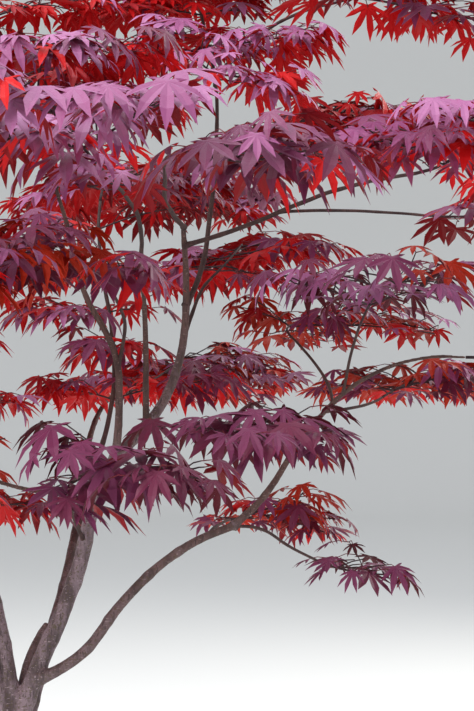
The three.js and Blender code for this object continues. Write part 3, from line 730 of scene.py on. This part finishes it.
# A spray's top and under tints: red where light shines through, pale where the sky lies on the blades,
# and otherwise dark. A tint times two or three comes up that much more often.
tintChoices = dict(
    underDark=["maroonUnder"] * 2 + ["garnetUnder"],
    underLow=["garnetUnder"] + ["rustUnder"] * 2 + ["scarletUnder"],
    underBig=["garnetUnder"] * 2 + ["scarletUnder"],
    underHigh=["garnetUnder"] + ["scarletUnder"] * 3,
    redLow=["crimsonTop"] + ["rustTop"] * 2,
    redHigh=["crimsonTop"] + ["scarletTop"] * 2,
    palest=["lilacTop"] * 2 + ["mauveTop"],
    pale=["lilacTop"] + ["mauveTop"] * 2,
    dark=["plumTop"] * 2 + ["wineTop"],
)
tintLimits = dict(low=900, big=1.05, palest=0.6, dark=0.1)


def pickTint(spray):
    dice, mass = spray.dice, spray.mass
    # High masses get brighter red undersides and low masses darker ones: painted light shining through the
    # blades, stronger higher up
    if mass["middle"][2] < tintLimits["low"]:
        red = "redLow"
        under = "underDark" if mass["red"] < tintLimits["dark"] else "underLow"
    else:
        red = "redHigh"
        under = "underBig" if mass["big"] > tintLimits["big"] else "underHigh"
    under = dice.choice(tintChoices[under])
    # Red tops are painted light shining through; pale tops are a painted reflection of the sky
    if dice.random() < mass["red"]:
        top = red
    elif dice.random() < mass["pale"]:
        top = "palest" if mass["pale"] > tintLimits["palest"] else "pale"
    else:
        top = "dark"
    return dice.choice(tintChoices[top]), under


shoots = dict(
    first=0.34, last=0.97,  # shares of the bough between which they grow
    length=(60, 130), spread=(42, 72), rise=(2, 24), foot=1.3,
    steep=50,  # degrees of rise past which pairs cross each other
)


# Leafy shoots in pairs along the outer part of a bough that would else be bare
def addShoots(spray, bough, count):
    dice = spray.dice
    spray.loose = True
    for node in range(count):
        share = shoots["first"] + (shoots["last"] - shoots["first"]) * (node + 0.5) / count
        way = along(bough, min(1, share + 0.05)) - along(bough, share - 0.05)
        crossed = math.degrees(math.asin(way[2] / np.linalg.norm(way))) > shoots["steep"]
        for hand in (1, -1):
            turn = 90 * (node % 2) + 90 * hand if crossed else hand * dice.uniform(*shoots["spread"])
            addTwig(spray, along(bough, share), headingOf(way) + turn, dice.uniform(*shoots["rise"]),
                    shoots["foot"], dice.uniform(*shoots["length"]))
    spray.loose = False


# What grows in one mass: its tubes, its leaves and the middles of those leaves
def growMass(index, mass):
    dice = random.Random(1000 + index)
    spray = SimpleNamespace(index=index, mass=mass, dice=dice, loose=False, tubes=[], leaves=[], middles=[])
    stem = massStem(mass)
    line = smoothPath(stem, foliage["ringEvery"])
    foot = min(foliage["stemFoot"], limbs[mass["bough"]]["tip"])
    spray.tubes.append(("stem", line, np.linspace(foot, foliage["stemTip"], len(line))))
    for twig in planTwigs(stem, seeded(index + 1)):
        addTwig(spray, along(stem, twig["share"]), twig["heading"], twig["rise"], foliage["twigFoot"])
    for share in foliage["stemNodes"]:
        for hand in (1, -1):
            own = dice.uniform(*foliage["stemSprig"])
            heading = headingAt(stem, share) + hand * dice.uniform(*foliage["stemSpread"])
            rise = dice.uniform(*foliage["stemRise"])
            addSprig(spray, along(stem, share), heading, rise, own, pickTint(spray))
    addTwig(spray, stem[-1], headingAt(stem, 1), foliage["endRise"], foliage["endTwigFoot"])
    addShoots(spray, limbs[mass["bough"]]["path"], mass["shoots"])
    return spray


tubeSides = dict(stem=7, twig=5, sprig=4, stalk=3)


# Tubes as one mesh, closed at both ends, with the stalks in the second slot
def tubeMesh(name, tubes):
    points, faces, slots, count = [], [], [], 0
    for kind, path, radii in tubes:
        sides = tubeSides[kind]
        path = np.asarray(path, float)
        ways = np.gradient(path, axis=0)
        ways /= np.linalg.norm(ways, axis=1)[:, None]
        ref = np.array([0.0, 0, 1]) if abs(ways[0][2]) < 0.9 else np.array([1.0, 0, 0])
        across = np.cross(ways, ref)
        across /= np.linalg.norm(across, axis=1)[:, None]
        upward = np.cross(across, ways)
        turns = np.arange(sides) * 2 * math.pi / sides
        rings = across[:, None] * np.cos(turns)[:, None] + upward[:, None] * np.sin(turns)[:, None]
        points.append((path[:, None] + rings * np.asarray(radii)[:, None, None]).reshape(-1, 3))
        rows = len(path)
        ring, step = np.meshgrid(np.arange(rows - 1), np.arange(sides), indexing="ij")
        here = (ring * sides + step).ravel() + count
        after = (ring * sides + (step + 1) % sides).ravel() + count
        fan = np.arange(1, sides - 1)
        last = count + (rows - 1) * sides
        for corners in ((here, here + sides, after), (after, here + sides, after + sides),
                        (count + 0 * fan, count + fan, count + fan + 1),
                        (last + 0 * fan, last + fan + 1, last + fan)):
            faces.append(np.stack(corners, axis=1))
            slots.append(np.full(len(faces[-1]), int(kind == "stalk")))
        count += rows * sides
    return meshFromArrays(name, points, faces, slots)


# A mesh of triangles from lists of arrays of points, faces and material slots
def meshFromArrays(name, points, faces, slots):
    points, faces, slots = np.vstack(points), np.vstack(faces), np.concatenate(slots)
    mesh = bpy.data.meshes.new(name)
    mesh.vertices.add(len(points))
    mesh.vertices.foreach_set("co", (points * mm).astype(np.float32).ravel())
    mesh.loops.add(len(faces) * 3)
    mesh.loops.foreach_set("vertex_index", faces.astype(np.int32).ravel())
    mesh.polygons.add(len(faces))
    mesh.polygons.foreach_set("loop_start", np.arange(len(faces), dtype=np.int32) * 3)
    mesh.polygons.foreach_set("material_index", slots.astype(np.int32))
    mesh.polygons.foreach_set("use_smooth", np.zeros(len(faces), bool))
    mesh.update(calc_edges=True)
    mesh.validate()
    return mesh


# Colour, sheen and gloss of each tint. The lilac and mauve tops are a painted reflection of the sky; the
# crimson, scarlet and rust tops and the scarlet and rust undersides are painted light shining through the
# blade.
leafTints = dict(
    lilacTop=((0.4, 0.12, 0.285), 0.35, 0.5),
    mauveTop=((0.3, 0.06, 0.185), 0.3, 0.5),
    plumTop=((0.2, 0.03, 0.098), 0.2, 0.45),
    wineTop=((0.165, 0.019, 0.06), 0.15, 0.4),
    crimsonTop=((0.36, 0.008, 0.014), 0, 0.2),
    scarletTop=((0.56, 0.008, 0.01), 0, 0.15),
    rustTop=((0.4, 0.024, 0.009), 0, 0.15),
    maroonUnder=((0.095, 0.008, 0.016), 0, 0.15),
    garnetUnder=((0.24, 0.008, 0.012), 0, 0.15),
    scarletUnder=((0.62, 0.008, 0.01), 0, 0.15),
    rustUnder=((0.48, 0.028, 0.009), 0, 0.15),
)
tintSlots = {name: slot for slot, name in enumerate(leafTints)}


def leafMesh(name, leaves):
    points, faces, slots, count = [], [], [], 0
    for kind, base, basis, (top, under) in leaves:
        pattern, tops, unders = patterns[kind]
        points.append(base + pattern @ basis)
        faces += [tops + count, unders + count]
        slots += [np.full(len(tops), tintSlots[top]), np.full(len(unders), tintSlots[under])]
        count += len(pattern)
    return meshFromArrays(name, points, faces, slots)


# Materials

# Sets inputs of a node: a socket of another node is linked, anything else is a value
def feed(tree, node, inputs):
    for name, value in inputs.items():
        target = node.inputs[name]
        if isinstance(value, bpy.types.NodeSocket):
            tree.links.new(value, target)
        else:
            target.default_value = value


def addNode(tree, kind, inputs, **settings):
    node = tree.nodes.new(kind)
    for name, value in settings.items():
        setattr(node, name, value)
    feed(tree, node, inputs)
    return node


def noiseNode(tree, vector, scale, detail, rough):
    inputs = {"Vector": vector, "Scale": scale, "Detail": detail, "Roughness": rough}
    return addNode(tree, "ShaderNodeTexNoise", inputs).outputs["Fac"]


def ramp(tree, value, low, high):
    inputs = {"Value": value, "From Min": low, "From Max": high}
    return addNode(tree, "ShaderNodeMapRange", inputs, interpolation_type="SMOOTHSTEP").outputs["Result"]


def mixed(tree, share, one, two):
    node = addNode(tree, "ShaderNodeMix", {}, data_type="RGBA")
    places = {item.identifier: i for i, item in enumerate(node.inputs)}
    feed(tree, node, {places["Factor_Float"]: share, places["A_Color"]: one, places["B_Color"]: two})
    return next(item for item in node.outputs if item.identifier == "Result_Color")


def maths(tree, how, *values):
    return addNode(tree, "ShaderNodeMath", dict(enumerate(values)), operation=how).outputs[0]


# A group with its inputs' usual values and its outputs. The place is a point in the piece's own space.
def newGroup(name, inputs, outputs):
    tree = bpy.data.node_groups.new(name, "ShaderNodeTree")
    for key, value in inputs.items():
        kind = "NodeSocketColor" if isinstance(value, tuple) else "NodeSocketFloat"
        tree.interface.new_socket(name=key, in_out="INPUT", socket_type=kind).default_value = value
    for key in outputs:
        kind = "NodeSocketColor" if key == "Color" else "NodeSocketFloat"
        tree.interface.new_socket(name=key, in_out="OUTPUT", socket_type=kind)
    inside = tree.nodes.new("NodeGroupInput").outputs
    place = tree.nodes.new("ShaderNodeTexCoord").outputs["Object"]
    return tree, inside, place, tree.nodes.new("NodeGroupOutput")


# Marks of bark, each from a noise: stretch along the axes, scale, make-up, and the band where it sets in
barkMarks = dict(
    grain=dict(stretch=(1, 1, 0.18), scale=420, detail=5, rough=0.6, band=(0.36, 0.44)),
    mottle=dict(stretch=(1, 1, 0.3), scale=75, detail=4, rough=0.65, band=(0.3, 0.62)),
    speckle=dict(stretch=(1, 1, 1), scale=330, detail=3, rough=0.7, band=(0.52, 0.62)),
    pores=dict(stretch=(1, 1, 3.2), scale=230, detail=1, rough=0.4, band=(0.64, 0.72)),
)
barkSkinForm = dict(smooth=0.62, roughRange=0.25, grainHeight=0.6, poreHeight=0.4)


def barkLook(base, shade, moss, pore, mossAmount, poreAmount):
    colours = {name: (*colour, 1) for name, colour in
               (("Base", base), ("Shade", shade), ("Moss", moss), ("Pore", pore))}
    return {**colours, "Moss Amount": mossAmount, "Pore Amount": poreAmount}


def youngLook(base, shade):
    return barkLook(base, shade, (0.07, 0.045, 0.03), (0.17, 0.1, 0.08), 0.25, 0.45)


barkLooks = dict(
    old=barkLook((0.262, 0.192, 0.218), (0.082, 0.056, 0.058), (0.105, 0.08, 0.04),
                 (0.42, 0.33, 0.36), 0.85, 0.8),
    slender=barkLook((0.115, 0.058, 0.048), (0.048, 0.022, 0.02), (0.1, 0.065, 0.04),
                     (0.25, 0.17, 0.15), 0.4, 0.7),
    young=youngLook((0.075, 0.036, 0.032), (0.032, 0.014, 0.014)),
    twig=youngLook((0.05, 0.012, 0.018), (0.022, 0.006, 0.01)),
    stalk=youngLook((0.23, 0.014, 0.03), (0.1, 0.008, 0.016)),
)
barkBump = dict(stem=(0.6, 0.0006), young=(0.4, 0.0004))  # strength, and distance in metres
barkAge = (0.06, 0.5)  # girths between which slender bark turns old


# Bark shared by all wood: mottling, dark speckle, pale pores across the grain, fine cracks along it
def barkGroup():
    tree, inside, place, result = newGroup("barkSkin", barkLooks["old"], ("Color", "Roughness", "Height"))
    noises, masks = {}, {}
    for name, mark in barkMarks.items():
        mapping = addNode(tree, "ShaderNodeMapping", {"Vector": place, "Scale": mark["stretch"]})
        noises[name] = noiseNode(tree, mapping.outputs[0], mark["scale"], mark["detail"], mark["rough"])
        masks[name] = ramp(tree, noises[name], *mark["band"])
    mossMask = maths(tree, "MULTIPLY", masks["speckle"], inside["Moss Amount"])
    poreMask = maths(tree, "MULTIPLY", masks["pores"], inside["Pore Amount"])
    skin = mixed(tree, masks["mottle"], inside["Shade"], inside["Base"])
    skin = mixed(tree, mossMask, skin, inside["Moss"])
    skin = mixed(tree, poreMask, skin, inside["Pore"])
    skin = mixed(tree, masks["grain"], inside["Shade"], skin)
    form = barkSkinForm
    rough = maths(tree, "MULTIPLY_ADD", noises["grain"], form["roughRange"], form["smooth"])
    height = maths(tree, "ADD", maths(tree, "MULTIPLY", noises["grain"], form["grainHeight"]),
                   maths(tree, "MULTIPLY", poreMask, form["poreHeight"]))
    feed(tree, result, {"Color": skin, "Roughness": rough, "Height": height})
    return tree


def plainMaterial(name):
    material = bpy.data.materials.new(name)
    material.use_nodes = True
    shader = material.node_tree.nodes["Principled BSDF"]
    return material, material.node_tree, shader


def addBump(tree, shader, height, strength, distance):
    inputs = {"Height": height, "Strength": strength, "Distance": distance}
    feed(tree, shader, {"Normal": addNode(tree, "ShaderNodeBump", inputs).outputs["Normal"]})


# Bark of one look, or of a second that the first turns into where the wood is thin
def barkMaterial(group, name, bump, *looks):
    material, tree, shader = plainMaterial(name)
    skins = [addNode(tree, "ShaderNodeGroup", barkLooks[look], node_tree=group) for look in looks]
    colour = skins[0].outputs["Color"]
    if len(skins) > 1:
        girth = addNode(tree, "ShaderNodeAttribute", {}, attribute_name="girth").outputs["Fac"]
        colour = mixed(tree, ramp(tree, girth, *barkAge), skins[1].outputs["Color"], colour)
    feed(tree, shader, {"Base Color": colour, "Roughness": skins[0].outputs["Roughness"]})
    addBump(tree, shader, skins[0].outputs["Height"], *bump)
    return material


leafLook = dict(
    skin={"Smooth": 0.38, "Range": 0.25},  # least roughness, and how much more at the most
    patches=(90, 3, 0.6),  # scale, detail and roughness of their noise
    cellScale=420, netBand=(0, 0.12),
    sheenRough=0.4, sheenTint=(0.86, 0.66, 0.98, 1),
    bump=(0.25, 0.0003),
)


# The blade's skin: fine cells and a faint net, which give the gloss its break-up
def leafGroup():
    look = leafLook
    tree, inside, place, result = newGroup("leafSkin", look["skin"], ("Roughness", "Height"))
    patches = noiseNode(tree, place, *look["patches"])
    cells = addNode(tree, "ShaderNodeTexVoronoi", {"Vector": place, "Scale": look["cellScale"]},
                    feature="DISTANCE_TO_EDGE")
    net = ramp(tree, cells.outputs["Distance"], *look["netBand"])
    rough = maths(tree, "MULTIPLY_ADD", patches, inside["Range"], inside["Smooth"])
    feed(tree, result, {"Roughness": rough, "Height": maths(tree, "ADD", net, patches)})
    return tree


def leafMaterial(group, name, colour, sheen, gloss):
    material, tree, shader = plainMaterial(name)
    skin = addNode(tree, "ShaderNodeGroup", leafLook["skin"], node_tree=group)
    feed(tree, shader, {
        "Base Color": (*colour, 1), "Roughness": skin.outputs["Roughness"],
        "Specular IOR Level": gloss, "Sheen Weight": sheen,
        "Sheen Roughness": leafLook["sheenRough"], "Sheen Tint": leafLook["sheenTint"],
    })
    addBump(tree, shader, skin.outputs["Height"], *leafLook["bump"])
    return material


# All put together

barkSkin = barkGroup()
stemNames = [limb["name"] for limb in limbTable if limb["foot"] > wood["thickFoot"]]
stemBark = barkMaterial(barkSkin, "stemBark", barkBump["stem"], "old", "slender")
stems = buildWood("trunk_and_stems", stemNames, wood["thickSides"], stemBark, fused=True)
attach(stems, "root")
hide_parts(*stemNames)
print("fused stems:", len(stems.data.polygons), "faces")

thinNames = [limb["name"] for limb in limbTable if limb["name"] not in stemNames]
youngBark = barkMaterial(barkSkin, "youngBark", barkBump["young"], "young")
thin = buildWood("boughs_and_twigs", thinNames, wood["thinSides"], youngBark, fused=False)
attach(thin, "root")
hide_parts(*thinNames)
print("thin boughs:", len(thin.data.polygons), "faces")

sprays = [growMass(index, mass) for index, mass in enumerate(massTable)]
print("leaves in all:", sum(len(spray.leaves) for spray in sprays))

tubes = [tube for spray in sprays for tube in spray.tubes]
twigMaterials = [barkMaterial(barkSkin, name, barkBump["young"], look)
                 for name, look in (("twigBark", "twig"), ("leafStalk", "stalk"))]
twigs = newPiece("foliage_twigs", tubeMesh("foliage_twigs", tubes), *twigMaterials)
twigs.data.shade_smooth()
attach(twigs, "root")
print("foliage twigs:", len(twigs.data.polygons), "triangles")

leafSkin = leafGroup()
leafMaterials = [leafMaterial(leafSkin, name, *look) for name, look in leafTints.items()]
groupSlots = dict(near="purple_leaves", low="purple_leaves", top="red_leaves", right="red_leaves",
                  back="red_leaves", west="red_leaves", crown="red_leaves", lowWest="purple_leaves")
for group, slotName in groupSlots.items():
    chosen = [spray for spray in sprays if spray.mass["group"] == group]
    leaves = [leaf for spray in chosen for leaf in spray.leaves]
    piece = newPiece(group + "_leaves", leafMesh(group + "_leaves", leaves), *leafMaterials)
    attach(piece, "root")
    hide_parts(*[spray.mass["name"] for spray in chosen])
    print(group, "leaves:", len(piece.data.polygons), "triangles")


# Floor, light and camera

stage = dict(half=13, wallAt=13, wallHeight=12, curve=3, curveSteps=12,
             colour=(0.78, 0.78, 0.76, 1), rough=0.9)


def buildFloor():
    bm = bmesh.new()
    edge = [bm.verts.new((side * stage["half"], -stage["half"], 0)) for side in (-1, 1)]
    line = bm.edges.new(edge)
    turn = math.pi / 2 / stage["curveSteps"]
    runs = [Vector((0, stage["half"] + stage["wallAt"], 0))]
    runs += [Vector((0, math.cos(turn * (i + 0.5)), math.sin(turn * (i + 0.5)))) * stage["curve"] * turn
             for i in range(stage["curveSteps"])]
    runs.append(Vector((0, 0, stage["wallHeight"])))
    for run in runs:
        verts, (line,) = freshParts(bmesh.ops.extrude_edge_only(bm, edges=[line])["geom"])
        bmesh.ops.translate(bm, vec=run, verts=verts)
    bmesh.ops.recalc_face_normals(bm, faces=bm.faces)
    material, tree, shader = plainMaterial("paleFloor")
    feed(tree, shader, {"Base Color": stage["colour"], "Roughness": stage["rough"]})
    piece = newPiece("floor", meshFrom(bm, "floor"), material)
    piece.data.shade_smooth()


lamps = [
    dict(name="overhead", place=(-0.4, -0.6, 4.2), aim=(0.1, 0, 0.8),
         size=4.5, power=150, colour=(0.93, 0.95, 1)),
    dict(name="frontLeft", place=(-2.6, -3.2, 2.2), aim=(0.1, 0, 0.8),
         size=2.6, power=95, colour=(1, 0.97, 0.94)),
    dict(name="behindRight", place=(2.4, 2.6, 2.8), aim=(0.1, 0, 0.9),
         size=2.2, power=70, colour=(1, 0.96, 0.9)),
]
room = dict(colour=(0.92, 0.95, 1, 1), strength=0.7)


def buildLights():
    for lamp in lamps:
        light = bpy.data.lights.new(lamp["name"], "AREA")
        light.shape = "DISK"
        light.size = lamp["size"]
        light.energy = lamp["power"]
        light.color = lamp["colour"]
        holder = bpy.data.objects.new(lamp["name"], light)
        holder.location = lamp["place"]
        aim = Vector(lamp["aim"]) - Vector(lamp["place"])
        holder.rotation_euler = aim.to_track_quat("-Z", "Y").to_euler()
        bpy.context.scene.collection.objects.link(holder)
    world = bpy.data.worlds.new("softRoom")
    world.use_nodes = True
    inputs = {"Color": room["colour"], "Strength": room["strength"]}
    feed(world.node_tree, world.node_tree.nodes["Background"], inputs)
    bpy.context.scene.world = world


view = dict(place=(0.247, -1.93, 0.69), lens=85, sensor=36, tilt=2.88)


def buildCamera():
    camera = bpy.data.cameras.new("view")
    camera.lens = view["lens"]
    camera.sensor_width = view["sensor"]
    holder = bpy.data.objects.new("view", camera)
    holder.location = view["place"]
    holder.rotation_euler = (math.radians(90 + view["tilt"]), 0, 0)
    bpy.context.scene.collection.objects.link(holder)
    bpy.context.scene.camera = holder


buildFloor()
buildLights()
buildCamera()
bpy.context.scene.view_settings.view_transform = "Standard"
print("stage, lights and camera set")
